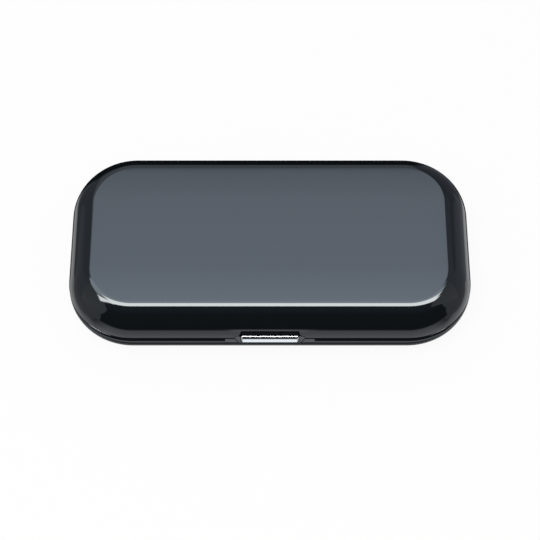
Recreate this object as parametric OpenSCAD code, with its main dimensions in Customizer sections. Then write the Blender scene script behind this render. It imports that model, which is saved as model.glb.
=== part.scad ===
// Small hinged carrying case with a push-bar latch.
// Millimetres, +Z up, front towards -Y. The origin is the middle of the underside.

/* [Case] */
// Length of the case from side to side
case_w = 170; // [150:1:220]
// Depth of the shells from front to rear
case_d = 88; // [82:1:120]
// Corner radius of the outline seen from above
corner_r = 27.5; // [24:0.5:34]
// Height of the base shell up to its rim
base_h = 12.8; // [12.8:0.1:20]
// Height of the lid shell at the edge of its top face
lid_edge_h = 12.35; // [12:0.05:20]
// Height of the groove between the two shells
seam_gap = 1.75; // [1:0.05:2]
// Radius of the slight crown near the edges of the lid top
crown_r = 420; // [250:10:900]

/* [Shell walls] */
// Wall thickness of both shells
wall = 2.2; // [1.8:0.1:2.6]
// Thickness of the lid wall where it overlaps the inner lip
lid_lip_wall = 1.25; // [1:0.05:1.5]
// Thickness of the base wall beside the inner lip
base_lip_wall = 1.4; // [1.2:0.05:1.6]
// Lean of the lid side at its lower edge, in degrees
lid_lean = 7; // [2:0.5:8]
// Height of the straight band under the rim of the base
base_band = 1; // [1:0.1:3]
// Radius of the rounded outer edge of the base rim
rim_r = 0.9; // [0.4:0.1:1]
// Slope at which the rounded side meets the edge fillet, in degrees
crease_angle = 62; // [55:1:70]
// Radius of the fillet round the top and bottom faces
crease_r = 5.5; // [4:0.5:8]

/* [Inner frames] */
// Thickness of the frame flanges
frame_t = 1.2; // [1:0.1:1.8]
// How far the base frame lies below the rim of the base
frame_drop = 0.4; // [0.2:0.1:0.8]
// Thickness of the upright lip behind the seam
lip_t = 1.2; // [1:0.1:1.6]
// How far the upright lip reaches into the lid
lip_rise = 1.4; // [1:0.1:2]
// Width of the frames at the two sides
frame_side = 9.5; // [9:0.1:14]
// Width of the frames at the rear
frame_rear = 9.5; // [9:0.1:14]
// Thickness of the skirt round the foam
skirt_t = 1.2; // [0.9:0.1:1.8]
// Corner radius of the opening in the frames
opening_r = 18; // [14:0.5:20]

/* [Foam] */
// Distance from the rim of the base down to the top of its foam
foam_drop = 1.2; // [0.8:0.1:3]
// Thickness of the foam under the pockets
pocket_floor = 2.3; // [1.5:0.1:4]
// Length of the large pocket
tray_pocket_w = 62; // [40:1:66]
// Diameter of the round pocket
round_pocket_d = 38; // [24:1:40]
// Width of the narrow pocket
slot_pocket_w = 22; // [12:1:26]
// Depth of the large and narrow pockets from front to rear
pocket_d = 46; // [30:1:48]
// Corner radius of the pockets
pocket_r = 7; // [4:0.5:10]
// Foam left between two pockets
pocket_web = 6.5; // [5:0.5:9]
// Gap between the lid foam and the lower face of the lid frame
lid_foam_lift = 2; // [1:0.1:4]

/* [Hinges] */
// Distance of each hinge from the middle of the case
hinge_x = 45; // [36:1:52]
// Length of each hinge
hinge_len = 18; // [14:0.5:24]
// Length of the lid knuckle in the middle of each hinge
lid_knuckle_len = 7.5; // [5:0.5:9]
// Outer radius of the knuckles
knuckle_r = 2; // [1.8:0.1:2.2]
// Radius of the hinge pins
pin_r = 0.8; // [0.6:0.05:1]
// Running clearance of the pin in the lid knuckle
pin_gap = 0.05; // [0.03:0.01:0.1]
// How far the hinge axis lies inside the rear face
axis_inset = 0.1; // [0:0.05:0.3]
// How far the lid opens, in degrees
open_angle = 120; // [100:5:130]
// Radius of the stop heel under each base knuckle
heel_r = 3.4; // [3:0.1:4]

/* [Latch] */
// Length of the push bar
button_w = 24.2; // [20:0.2:26]
// Height of the push bar
button_h = 3.9; // [3.6:0.1:4.4]
// How far the push bar stands proud of the front
button_proud = 0.52; // [0.2:0.02:1.2]
// Height of the push bar's top above the lower edge of the lid
button_top = 1.05; // [0.9:0.05:1.4]
// Slope of the push bar's top towards its front edge, in degrees
button_slope = 17; // [5:1:20]
// Travel of the push bar
travel = 1.5; // [1.2:0.1:1.8]
// Half length of the bezel at its pointed ends
bezel_tip_x = 14.75; // [14.4:0.05:17]
// Half length of the bezel along its lower edge
bezel_low_x = 12.95; // [12.5:0.05:15]
// Half length of the bezel at its shoulders
bezel_shoulder_x = 12.9; // [12.5:0.05:14]
// Half length of the bezel along its upper edge
bezel_top_x = 11.8; // [10:0.1:13]
// Height of the bezel above the lower edge of the lid
bezel_up = 3.85; // [3:0.05:5]
// Depth of the bezel below the lower edge of the lid
bezel_down = 3.7; // [3.6:0.1:4.6]
// Height of the flush ears at the ends of the bezel
ear_up = 1.05; // [0.4:0.05:1.4]
// How far the bezel face lies behind the front above the bar
bezel_recess = 1; // [0.7:0.05:1.3]
// Thickness of the bezel plate
plate_t = 1.8; // [1.5:0.1:2.2]
// Half length of the raised rim tabs, measured from the middle
tab_x = 18.6; // [17.6:0.1:22]
// Gap between the rim tabs and the lid
tab_gap = 0.3; // [0.1:0.05:0.5]
// Thickness of the hook plate
hook_t = 1.4; // [1.1:0.1:1.8]
// Width of the hook
hook_w = 11; // [8:0.5:12]
// How far the hook nose reaches behind the plate
hook_nose = 0.9; // [0.7:0.1:1.2]
// How far the catch reaches over the hook nose
catch_grip = 0.6; // [0.4:0.1:0.7]
// Thickness of the slide
slide_t = 2.4; // [2.2:0.1:2.8]
// Wire diameter of the latch springs
wire_d = 0.45; // [0.3:0.05:0.5]
// Number of turns of each latch spring
spring_turns = 5; // [4:1:6]

/* [Screws] */
// Radius of the screw shanks
screw_r = 0.85; // [0.7:0.05:1]
// Radius of the screw heads
head_r = 1.9; // [1.6:0.1:2.1]
// Height of the screw heads
head_h = 1; // [0.8:0.1:1.1]
// Radius of the bosses that take the screws
boss_r = 2.4; // [2.2:0.1:2.8]
// Distance of the corner screws from the outline, measured along the diagonal
screw_inset = 5.1; // [4.8:0.1:6]

/* [Hidden] */
$fn = 96;

gloss_black = "#1b1c1f";
matt_black = "#2a2b2d";
foam_grey = "#4a4c50";
chrome = "#d8dadd";
steel = "#a9abad";

// Small clearances
fit_gap = 0.15;
slide_gap = 0.2;
rest_gap = 0.3;
seat_gap = 0.05;
// Overshoot of a cut past the face that it opens
cut = 1;

// Depth of each screw in its boss, and of the hole below its tip
base_grip = 4.8;
lid_grip = 3.6;
latch_grip = 3;
hook_grip = 4.2;
button_grip = 2.4;
hole_over = 0.4;

// Levels
rim_z = base_h;
lip_z = rim_z + seam_gap;
frame_top = rim_z - frame_drop;
frame_z = frame_top - frame_t;
lip_top = lip_z + lip_rise;
rebate_top = lip_top + rest_gap;
lid_frame_z = rebate_top + 0.5;
lid_frame_top = lid_frame_z + frame_t;
floor_z = wall;
foam_top = rim_z - foam_drop;
lid_foam_z = lid_frame_z + lid_foam_lift;

// Rounded sides: an arc from the lip to the crease, then the edge fillet
lid_arc_r = (lid_edge_h - crease_r * (1 - sin(crease_angle))) / (sin(crease_angle) - sin(lid_lean));
base_arc_r = (base_h - base_band - crease_r * (1 - sin(crease_angle))) / sin(crease_angle);
lid_arc = [corner_r - lid_arc_r * cos(lid_lean), -lid_arc_r * sin(lid_lean)];
base_arc = [corner_r - base_arc_r, base_band];
lid_top_h = crown_height(lid_arc, lid_arc_r);
function fillet_centre(arc, r) = arc + (r - crease_r) * [cos(crease_angle), sin(crease_angle)];
function crown_centre_z(arc, r) =
    let (b = fillet_centre(arc, r)) b[1] - sqrt(pow(crown_r - crease_r, 2) - pow(b[0], 2));
function crown_height(arc, r) = crown_centre_z(arc, r) + crown_r;
// How far the lid side lies inside the outline at a height above its lower edge
function lid_inset(h, t = 0) =
    corner_r - lid_arc[0] - sqrt(pow(lid_arc_r - t, 2) - pow(h - lid_arc[1], 2));

// Inner frames and foam
lip_in = base_lip_wall + 0.1;
lid_frame_in = lid_inset(lid_frame_top - lip_z, wall) + fit_gap;
opening_w = case_w - 2 * frame_side;
opening_rear = case_d / 2 - frame_rear;
skirt_low = floor_z + 1.4;
skirt_high = lip_z + lid_edge_h - wall - 0.8;
corner_x = case_w / 2 - corner_r;
corner_y = case_d / 2 - corner_r;
screw_ring = corner_r - screw_inset;
screw_plan = [corner_x + screw_ring * cos(45), corner_y + screw_ring * sin(45)];

// Hinges
axis_y = case_d / 2 - axis_inset;
axis_z = rim_z + seam_gap / 2;
pocket_cut_r = knuckle_r + 0.35;
knuckle_gap = 0.25;
base_knuckle_len = (hinge_len - lid_knuckle_len) / 2 - knuckle_gap;
edge_h = pocket_cut_r - seam_gap / 2;
wall_lean = asin((lid_inset(edge_h) - axis_inset) / pocket_cut_r);
heel_angle = open_angle - 90 - wall_lean + 0.8;
web_up = 5;
web_down = 5.6;

// Latch, front to rear
front_y = -case_d / 2;
button_front = front_y - button_proud;
recess_y = front_y + bezel_recess;
plate_back = recess_y + plate_t;
bay_wall = 1.8;
slide_front = plate_back + rest_gap;
upstand_t = 1.1;
hook_front = slide_front + upstand_t + travel + 0.4;
hook_back = hook_front + hook_t;
catch_tip = hook_back + hook_nose - catch_grip;
bar_front = hook_back + hook_nose + 0.5;
bar_back = bar_front + 1.5;
tray_wall = 1.2;
tray_back = bar_back + travel + rest_gap;
housing_back = tray_back + tray_wall;
rail_front = slide_front + upstand_t + travel + rest_gap;
opening_front = housing_back + 0.6 + skirt_t;

// Latch, levels and widths
tray_floor_t = 1.2;
flange_y = front_y + bay_wall + 0.1;
slide_top = frame_z;
slide_z = slide_top - slide_t;
cover_z = slide_top + slide_gap;
tray_z = slide_z - slide_gap - tray_floor_t;
catch_z = slide_top - 1;
hook_low = slide_z + 0.05;
slide_x = 9;
arm_w = 1.6;
rail_w = 0.8;
spring_x = 12.3;
spring_r = 0.9;
spring_z = slide_z + slide_t / 2;
wing_x = 14.2;
housing_x = 16.2;
ear_slant = 0.65;
screw_ear_x = 21;
screw_ear_d = 5.2;
latch_screw = [housing_x + (screw_ear_x - housing_x) / 2, bar_front - 0.5];
bay_x = housing_x + 0.2;
hook_screw = [9, hook_back + 2.4];
hook_foot_x = 12;
hook_foot_t = 1.3;
hook_foot_back = hook_screw[1] + 2.6;
hook_boss_r = 2.2;
button_screw = [7.6, lip_z - 0.4];
button_screw_r = 0.6;
button_head_r = 1;
button_head_h = 0.6;

// Foam pockets, from left to right
foam_mid_y = (opening_front + opening_rear) / 2;
pockets_w = tray_pocket_w + round_pocket_d + slot_pocket_w + 2 * pocket_web;
tray_pocket_x = -pockets_w / 2 + tray_pocket_w / 2;
round_pocket_x = tray_pocket_x + tray_pocket_w / 2 + pocket_web + round_pocket_d / 2;
slot_pocket_x = round_pocket_x + round_pocket_d / 2 + pocket_web + slot_pocket_w / 2;

// Rounded rectangle with true arcs at its corners
module rounded(w, d, r) {
    square([w - 2 * r, d], center = true);
    square([w, d - 2 * r], center = true);
    for (x = [-1, 1], y = [-1, 1])
        translate([x * (w / 2 - r), y * (d / 2 - r)]) circle(r);
}

// Outline of the case, drawn in by a distance
module outline(inset) {
    rounded(case_w - 2 * inset, case_d - 2 * inset, corner_r - inset);
}

// Outline of the frame opening, drawn out by a distance
module opening(out) {
    translate([0, foam_mid_y])
        rounded(opening_w + 2 * out, opening_rear - opening_front + 2 * out, opening_r + out);
}

// What lies outside a fillet between two directions from its centre
module outside_fillet(centre, r, from, to) {
    reach = 4 * crease_r;
    middle = (from + to) / 2;
    difference() {
        polygon([
            centre,
            centre + reach * [cos(from), sin(from)],
            centre + reach * [cos(middle), sin(middle)],
            centre + reach * [cos(to), sin(to)]
        ]);
        translate(centre) circle(r);
    }
}

// Section of the lid from a corner's centre outwards, drawn in by a wall
module lid_section(t) {
    b = fillet_centre(lid_arc, lid_arc_r);
    c = [0, crown_centre_z(lid_arc, lid_arc_r)];
    difference() {
        intersection() {
            square([corner_r, lid_top_h]);
            union() {
                square([b[0], lid_top_h]);
                translate(lid_arc) circle(lid_arc_r - t);
            }
            translate(c) circle(crown_r - t);
        }
        outside_fillet(b, crease_r - t, crease_angle, atan2(b[1] - c[1], b[0]));
    }
}

// Section of the base, measured down from its rim
module base_section(t) {
    b = fillet_centre(base_arc, base_arc_r);
    difference() {
        union() {
            square([corner_r - t, base_band]);
            square([b[0], base_h - t]);
            intersection() {
                translate([0, base_band]) square([corner_r, base_h - t - base_band]);
                translate(base_arc) circle(base_arc_r - t);
            }
        }
        outside_fillet(b, crease_r - t, crease_angle, 90);
        if (t == 0) outside_fillet([corner_r - rim_r, rim_r], rim_r, -90, 0);
    }
}

// Carries a section round the rounded outline and fills the middle
module around(height) {
    for (q = [0:3]) {
        across = q % 2 == 0 ? corner_x : corner_y;
        along = q % 2 == 0 ? corner_y : corner_x;
        rotate(q * 90) translate([across, along, 0]) {
            rotate_extrude(angle = 90) children();
            rotate([90, 0, 0]) linear_extrude(2 * along) children();
        }
    }
    translate([-corner_x, -corner_y, 0]) cube([2 * corner_x, 2 * corner_y, height]);
}

module lid_body(t) {
    translate([0, 0, lip_z]) around(lid_top_h - t) lid_section(t);
}

module base_body(t) {
    translate([0, 0, rim_z]) mirror([0, 0, 1]) around(base_h - t) base_section(t);
}

module slab(low, high) {
    translate([0, 0, low]) linear_extrude(high - low) children();
}

module at_corners() {
    for (x = [-1, 1], y = [-1, 1]) translate([x * screw_plan[0], y * screw_plan[1], 0]) children();
}

module at_sides(p) {
    for (x = [-1, 1]) translate([x * p[0], p[1], 0]) children();
}

// Extrudes a front view from one depth to another
module front_view(from, to) {
    translate([0, to, 0]) rotate([90, 0, 0]) linear_extrude(to - from) children();
}

// Extrudes a side view, Y to the right and Z up, centred on X
module side_view(length) {
    rotate([90, 0, 90]) translate([0, 0, -length / 2]) linear_extrude(length) children();
}

// Pan-head screw, its head's seat at the origin and its shank down
module screw(length, shank = screw_r, head = head_r, tall = head_h) {
    slot = head * 0.22;
    difference() {
        union() {
            cylinder(r = head, h = tall);
            translate([0, 0, -length]) cylinder(r = shank, h = length + tall / 2);
        }
        for (a = [0, 90]) rotate(a)
            translate([-head * 0.6, -slot / 2, tall * 0.45]) cube([head * 1.2, slot, tall]);
    }
}

// Hole for a screw that reaches a depth past a face, up or down
module screw_hole(face, depth) {
    far = face + depth + sign(depth) * hole_over;
    near = face - sign(depth) * cut;
    translate([0, 0, min(far, near)]) cylinder(r = screw_r + seat_gap, h = abs(far - near));
}

// Clearance hole for a screw through a plate
module screw_pass(low, high) {
    translate([0, 0, low - cut]) cylinder(r = screw_r + fit_gap, h = high - low + 2 * cut);
}

// Front outline of the bezel, widened by a clearance
module bezel(c = 0) {
    right = [
        [bezel_low_x + c, -bezel_down - c],
        [bezel_tip_x + c, 0],
        [bezel_tip_x - ear_slant + c, ear_up + c],
        [bezel_shoulder_x + c, ear_up + c],
        [bezel_top_x + c, bezel_up + c]
    ];
    left = [for (i = [len(right) - 1:-1:0]) [-right[i][0], right[i][1]]];
    translate([0, lip_z]) polygon(concat(right, left));
}

// Places something at each hinge, at the axis
module at_hinges() {
    for (x = [-1, 1]) translate([x * hinge_x, axis_y, axis_z]) children();
}

module hinge_pocket(extra = knuckle_gap) {
    at_hinges() rotate([0, 90, 0]) cylinder(r = pocket_cut_r, h = hinge_len + 2 * extra, center = true);
}

// The two base knuckles of a hinge, each on a web with the stop heel
module base_knuckles() {
    heel = heel_r * [cos(heel_angle), -sin(heel_angle)];
    at_hinges() for (x = [-1, 1])
        translate([x * (hinge_len - base_knuckle_len) / 2, 0, 0]) side_view(base_knuckle_len)
            difference() {
                union() {
                    circle(knuckle_r);
                    polygon([[0, 0], heel, [-base_lip_wall + 0.3, -web_down], [-base_lip_wall + 0.3, 0]]);
                }
                circle(pin_r + 0.01);
            }
}

module lid_knuckle() {
    inner = axis_inset - lid_lip_wall;
    at_hinges() side_view(lid_knuckle_len) difference() {
        union() {
            circle(knuckle_r);
            polygon([[inner, 0], [knuckle_r, 0], [knuckle_r, 0.3],
                     [inner, web_up], [inner - 0.5, web_up], [inner, 1.8]]);
        }
        circle(pin_r + pin_gap);
    }
}

module base_shell() {
    color(gloss_black) difference() {
        union() {
            difference() {
                base_body(0);
                base_body(wall);
                slab(frame_z, rim_z + cut) outline(base_lip_wall);
            }
            intersection() {
                base_body(0);
                difference() {
                    union() {
                        at_corners() translate([0, 0, floor_z / 2])
                            cylinder(r = boss_r, h = frame_z - floor_z / 2);
                        at_sides(latch_screw) translate([0, 0, floor_z / 2])
                            cylinder(r = boss_r, h = tray_z - floor_z / 2);
                    }
                    slab(floor_z, rim_z) opening(skirt_t + fit_gap);
                }
            }
            rim_tabs();
        }
        front_view(front_y - cut, front_y + bay_wall + cut) bezel(fit_gap);
        translate([-bay_x, front_y + bay_wall, tray_z - 0.1])
            cube([2 * bay_x, housing_back - front_y, rim_z]);
        hinge_pocket();
        at_corners() screw_hole(frame_z, -base_grip);
        at_sides(latch_screw) screw_hole(tray_z, -latch_grip);
    }
    color(gloss_black) base_knuckles();
}

// Raised stretches of the rim on both sides of the bezel, which carry the closed lid
module rim_tabs() {
    intersection() {
        slab(rim_z - rim_r, lip_z - tab_gap) difference() {
            outline(0);
            outline(base_lip_wall);
        }
        translate([-tab_x, front_y - cut, 0]) cube([2 * tab_x, bay_wall + 2 * cut, lip_z]);
    }
}

module base_frame() {
    guard_y = axis_y - pocket_cut_r - knuckle_gap;
    notch = hinge_len / 2 + 0.6;
    bay = screw_ear_x + rest_gap;
    color(matt_black) difference() {
        union() {
            difference() {
                union() {
                    slab(frame_z, frame_top) outline(lip_in);
                    slab(frame_z, lip_top) difference() {
                        outline(lip_in);
                        outline(lip_in + lip_t);
                    }
                    slab(skirt_low, frame_top) opening(skirt_t);
                }
                at_hinges() translate([-notch, guard_y - axis_y, -axis_z])
                    cube([2 * notch, case_d, 2 * axis_z]);
            }
            at_hinges() translate([-notch - cut, guard_y - axis_y - lip_t, frame_z - axis_z])
                cube([2 * (notch + cut), lip_t, lip_top - frame_z]);
        }
        slab(0, lip_top + cut) opening(0);
        translate([-bay, front_y, 0]) cube([2 * bay, housing_back + rest_gap - front_y, 3 * rim_z]);
        at_corners() screw_pass(frame_z, frame_top);
    }
}

module base_foam() {
    low = floor_z + pocket_floor;
    color(foam_grey) difference() {
        slab(floor_z + 0.1, foam_top) opening(-fit_gap);
        slab(low, foam_top + cut) {
            translate([tray_pocket_x, foam_mid_y]) rounded(tray_pocket_w, pocket_d, pocket_r);
            translate([round_pocket_x, foam_mid_y]) circle(d = round_pocket_d);
            translate([slot_pocket_x, foam_mid_y]) rounded(slot_pocket_w, pocket_d, pocket_r);
        }
    }
}

// Wall of the latch tray, centred on an X position
module beside(x, width, from, to) {
    translate([x - width / 2, from, tray_z]) cube([width, to - from, cover_z - tray_z]);
}

module latch_housing() {
    window_x = button_w / 2 + fit_gap;
    window_low = button_top - button_h - fit_gap;
    color(gloss_black) difference() {
        union() {
            front_view(recess_y, plate_back) bezel();
            intersection() {
                front_view(front_y + 0.1, recess_y) bezel();
                difference() {
                    translate([-bezel_tip_x, front_y, lip_z - bezel_down])
                        cube([2 * bezel_tip_x, bezel_recess, bezel_down + ear_up]);
                    translate([-window_x, front_y - cut, lip_z + window_low])
                        cube([2 * window_x, bezel_recess + 2 * cut, 2 * button_h]);
                }
            }
            translate([-housing_x, flange_y, tray_z])
                cube([2 * housing_x, plate_back - flange_y, frame_top - tray_z]);
            translate([-housing_x, flange_y, tray_z])
                cube([2 * housing_x, housing_back - flange_y, tray_floor_t]);
            for (x = [-1, 1]) {
                beside(x * (housing_x - tray_wall / 2), tray_wall, flange_y, housing_back);
                beside(x * (slide_x + slide_gap + rail_w / 2), rail_w, rail_front, housing_back);
                beside(x * latch_screw[0], screw_ear_x - housing_x,
                       latch_screw[1] - screw_ear_d / 2, latch_screw[1] + screw_ear_d / 2);
            }
            translate([-housing_x, tray_back, tray_z])
                cube([2 * housing_x, housing_back - tray_back, cover_z - tray_z]);
        }
        translate([-window_x, front_y - cut, lip_z + window_low])
            cube([2 * window_x, plate_back - front_y + 2 * cut, button_h + 2 * fit_gap]);
        at_sides(latch_screw) screw_pass(tray_z, cover_z);
    }
}

module latch_cover() {
    slot_x = hook_w / 2 + 0.8;
    slot_gap = 0.6;
    side_gap = 0.4;
    cover_front = plate_back + 0.1;
    bar_x = button_w / 2 + side_gap;
    upstand_x = slide_x + side_gap;
    bar_end = slide_front + travel + rest_gap;
    color(steel) difference() {
        union() {
            translate([-housing_x, cover_front, cover_z])
                cube([2 * housing_x, housing_back - cover_front, frame_top - cover_z]);
            translate([-screw_ear_x, latch_screw[1] - screw_ear_d / 2, cover_z])
                cube([2 * screw_ear_x, screw_ear_d, frame_top - cover_z]);
        }
        translate([-bar_x, cover_front - cut, cover_z - cut])
            cube([2 * bar_x, bar_end - cover_front + cut, rim_z]);
        translate([-upstand_x, cover_front, cover_z - cut])
            cube([2 * upstand_x, rail_front - cover_front, rim_z]);
        translate([-slot_x, hook_front - slot_gap, cover_z - cut])
            cube([2 * slot_x, hook_t + hook_nose + 2 * slot_gap, rim_z]);
        at_sides(latch_screw) screw_pass(cover_z, frame_top);
    }
}

module latch_screws() {
    color(steel) at_sides(latch_screw) translate([0, 0, frame_top]) screw(frame_top - tray_z + latch_grip);
}

module base_frame_screws() {
    color(steel) at_corners() translate([0, 0, frame_top]) screw(frame_t + base_grip);
}

module hinge_pin(side) {
    length = hinge_len - 0.6;
    color(steel) translate([side * hinge_x, axis_y, axis_z])
        rotate([0, 90, 0]) cylinder(r = pin_r, h = length, center = true);
}

// Coil spring along Y: one unbroken six-sided tube with straight ends
spring_low_y = slide_front + upstand_t;
spring_len = tray_back - spring_low_y;
rings_per_turn = 8;
spring_rings = spring_turns * rings_per_turn;
spring_pitch = (spring_len - 4 * wire_d) / spring_turns;
spring_points = concat(
    [[0, 0]],
    [for (i = [0:spring_rings]) [i / rings_per_turn * 360, 2 * wire_d + i / rings_per_turn * spring_pitch]],
    [[spring_turns * 360, spring_len]]
);
function spring_at(p) = [spring_r * cos(p[0]), p[1], spring_r * sin(p[0])];
spring_path = [for (p = spring_points) spring_at(p)];
function direction(i) =
    let (a = spring_path[max(i - 1, 0)], b = spring_path[min(i + 1, len(spring_path) - 1)])
    i == 0 || i == len(spring_path) - 1 ? [0, 1, 0] : (b - a) / norm(b - a);
spring_gap = min([
    for (i = [1:spring_rings + 1], j = [1:spring_rings + 1])
        if (j - i > rings_per_turn / 2) norm(spring_path[j] - spring_path[i])
]) - wire_d;
echo(latch_spring_gap_to_itself = spring_gap);

module latch_spring(side) {
    sides = 6;
    rings = len(spring_path);
    points = [
        for (i = [0:rings - 1], s = [0:sides - 1])
            let (
                t = direction(i),
                a = spring_points[i][0],
                out = [cos(a), 0, sin(a)],
                flat = out - (out * t) * t,
                n = flat / norm(flat),
                b = cross(t, n),
                turn = 360 * s / sides
            )
            spring_path[i] + wire_d / 2 * (cos(turn) * n + sin(turn) * b)
    ];
    walls = [
        for (i = [0:rings - 2], s = [0:sides - 1])
            let (n = (s + 1) % sides, p = i * sides)
            each [[p + s, p + n, p + sides + n], [p + s, p + sides + n, p + sides + s]]
    ];
    ends = [
        for (s = [1:sides - 2])
            each [[0, s + 1, s], [(rings - 1) * sides, (rings - 1) * sides + s, (rings - 1) * sides + s + 1]]
    ];
    color(steel) translate([side * spring_x, spring_low_y, spring_z])
        polyhedron(points = points, faces = [for (f = concat(walls, ends)) [f[0], f[2], f[1]]]);
}

module lid_shell() {
    color(gloss_black) difference() {
        union() {
            difference() {
                lid_body(0);
                lid_body(wall);
                slab(lip_z - cut, rebate_top) outline(lid_lip_wall);
            }
            intersection() {
                lid_body(0);
                difference() {
                    at_corners() translate([0, 0, lid_frame_top]) cylinder(r = boss_r, h = lid_edge_h);
                    slab(lid_frame_z, skirt_high) opening(skirt_t + fit_gap);
                }
            }
        }
        front_view(front_y - cut, front_y + 3 * wall) bezel(fit_gap + 0.05);
        hinge_pocket();
        at_corners() screw_hole(lid_frame_top, lid_grip);
    }
    color(gloss_black) lid_knuckle();
}

module lid_frame() {
    color(matt_black) difference() {
        union() {
            slab(lid_frame_z, lid_frame_top) outline(lid_frame_in);
            intersection() {
                slab(lid_frame_z, skirt_high) opening(skirt_t);
                lid_body(wall + fit_gap);
            }
            at_sides(hook_screw) translate([0, 0, lid_frame_z])
                cylinder(r = hook_boss_r, h = hook_grip + hole_over + cut);
        }
        slab(lid_frame_z - cut, skirt_high + cut) opening(0);
        at_corners() screw_pass(lid_frame_z, lid_frame_top);
        at_sides(hook_screw) screw_hole(lid_frame_z, hook_grip);
    }
}

module lid_foam() {
    color(foam_grey) slab(lid_foam_z, skirt_high) opening(-fit_gap);
}

module lid_hook() {
    nose_top = catch_z - slide_gap;
    nose_lead = 0.75;
    tip = 0.4;
    color(steel) difference() {
        union() {
            side_view(hook_w) polygon([
                [hook_front, lid_frame_z],
                [hook_front, hook_low],
                [hook_back - tip, hook_low],
                [hook_back + hook_nose, hook_low + nose_lead],
                [hook_back + hook_nose, nose_top - tip / 2],
                [hook_back, nose_top],
                [hook_back, lid_frame_z]
            ]);
            translate([-hook_foot_x, hook_front, lid_frame_z - hook_foot_t])
                cube([2 * hook_foot_x, hook_foot_back - hook_front, hook_foot_t]);
        }
        at_sides(hook_screw) screw_pass(lid_frame_z - hook_foot_t, lid_frame_z);
    }
}

module lid_hook_screws() {
    color(steel) at_sides(hook_screw) translate([0, 0, lid_frame_z - hook_foot_t])
        mirror([0, 0, 1]) screw(hook_foot_t + hook_grip);
}

module lid_frame_screws() {
    color(steel) at_corners() translate([0, 0, lid_frame_z]) mirror([0, 0, 1]) screw(frame_t + lid_grip);
}

module latch_button() {
    edge = 0.5;
    end_r = 0.9;
    low = lip_z + button_top - button_h;
    top = low + button_h;
    depth = slide_front - button_front;
    fall = (recess_y - button_front + cut) * tan(button_slope);
    color(chrome) difference() {
        intersection() {
            front_view(button_front, slide_front)
                translate([0, low + button_h / 2]) rounded(button_w, button_h, end_r);
            side_view(button_w + cut) translate([button_front + depth, low + button_h / 2])
                rounded(2 * depth, button_h, edge);
            slab(low, low + button_h) translate([0, button_front + depth])
                rounded(button_w, 2 * depth, end_r);
        }
        side_view(button_w + cut) polygon([
            [recess_y, top],
            [button_front - cut, top - fall],
            [button_front - cut, top + cut],
            [recess_y, top + cut]
        ]);
        for (x = [-1, 1]) translate([x * button_screw[0], slide_front + cut, button_screw[1]])
            rotate([90, 0, 0]) cylinder(r = button_screw_r + 0.02, h = button_grip + hole_over / 2 + cut);
    }
}

module latch_slide() {
    catch_w = hook_w - 1;
    catch_edge = 0.3;
    ramp = catch_tip + 0.6;
    root = (bar_front + bar_back) / 2;
    color(matt_black) difference() {
        union() {
            translate([-slide_x, slide_front, slide_z])
                cube([2 * slide_x, upstand_t, lip_z + button_top - slide_gap - slide_z]);
            translate([-wing_x, slide_front, slide_z]) cube([2 * wing_x, upstand_t, slide_t]);
            for (x = [-1, 1]) translate([x * (slide_x - arm_w / 2) - arm_w / 2, slide_front, slide_z])
                cube([arm_w, bar_back - slide_front, slide_t]);
            translate([-slide_x, bar_front, slide_z]) cube([2 * slide_x, bar_back - bar_front, slide_t]);
            side_view(catch_w) polygon([
                [root, catch_z],
                [catch_tip, catch_z],
                [catch_tip, catch_z + catch_edge],
                [ramp, slide_top],
                [root, slide_top]
            ]);
        }
        for (x = [-1, 1]) translate([x * button_screw[0], slide_front + upstand_t + cut, button_screw[1]])
            rotate([90, 0, 0]) cylinder(r = button_screw_r + 0.1, h = upstand_t + 2 * cut);
    }
}

module button_screws() {
    color(steel) for (x = [-1, 1])
        translate([x * button_screw[0], slide_front + upstand_t, button_screw[1]]) rotate([-90, 0, 0])
            screw(upstand_t + button_grip, button_screw_r, button_head_r, button_head_h);
}

base_shell();
base_frame();
base_foam();
latch_housing();
latch_cover();
latch_screws();
base_frame_screws();
hinge_pin(-1);  // hinge_pin_left
hinge_pin(1);  // hinge_pin_right
latch_spring(-1);  // latch_spring_left
latch_spring(1);  // latch_spring_right
lid_shell();
lid_frame();
lid_foam();
lid_hook();
lid_hook_screws();
lid_frame_screws();
latch_button();
latch_slide();
button_screws();
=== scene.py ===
"""Looks of a small hinged carrying case with a push-bar latch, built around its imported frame.

Lengths are written in millimetres, and MM turns them to metres where a mesh is made.
"""

import math

import bmesh
import bpy
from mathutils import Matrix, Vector


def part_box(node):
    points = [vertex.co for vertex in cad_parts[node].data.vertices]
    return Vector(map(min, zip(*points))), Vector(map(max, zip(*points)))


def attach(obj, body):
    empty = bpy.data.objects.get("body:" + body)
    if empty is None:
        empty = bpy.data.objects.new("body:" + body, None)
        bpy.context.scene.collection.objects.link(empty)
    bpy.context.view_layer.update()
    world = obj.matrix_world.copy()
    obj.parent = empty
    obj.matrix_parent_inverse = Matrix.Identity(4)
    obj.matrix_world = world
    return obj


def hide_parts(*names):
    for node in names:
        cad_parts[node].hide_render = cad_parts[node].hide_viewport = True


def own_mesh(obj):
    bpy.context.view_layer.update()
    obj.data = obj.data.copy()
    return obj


MM = 0.001
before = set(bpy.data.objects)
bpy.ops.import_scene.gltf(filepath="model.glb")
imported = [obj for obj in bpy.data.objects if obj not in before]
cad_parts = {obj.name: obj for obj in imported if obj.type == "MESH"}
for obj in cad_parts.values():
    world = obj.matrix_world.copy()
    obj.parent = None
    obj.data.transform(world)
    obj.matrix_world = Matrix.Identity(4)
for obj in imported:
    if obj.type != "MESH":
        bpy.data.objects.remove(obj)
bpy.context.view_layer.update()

# Camera: the photograph looks down on the front from a long way off
IMAGE_W = 540
FOCAL_PX = 1915
VIEW_ELEVATION = 57.6
VIEW_DISTANCE = 820
AIM_HEIGHT = 14
AIM_PX = (269.9, 249.6)


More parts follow.
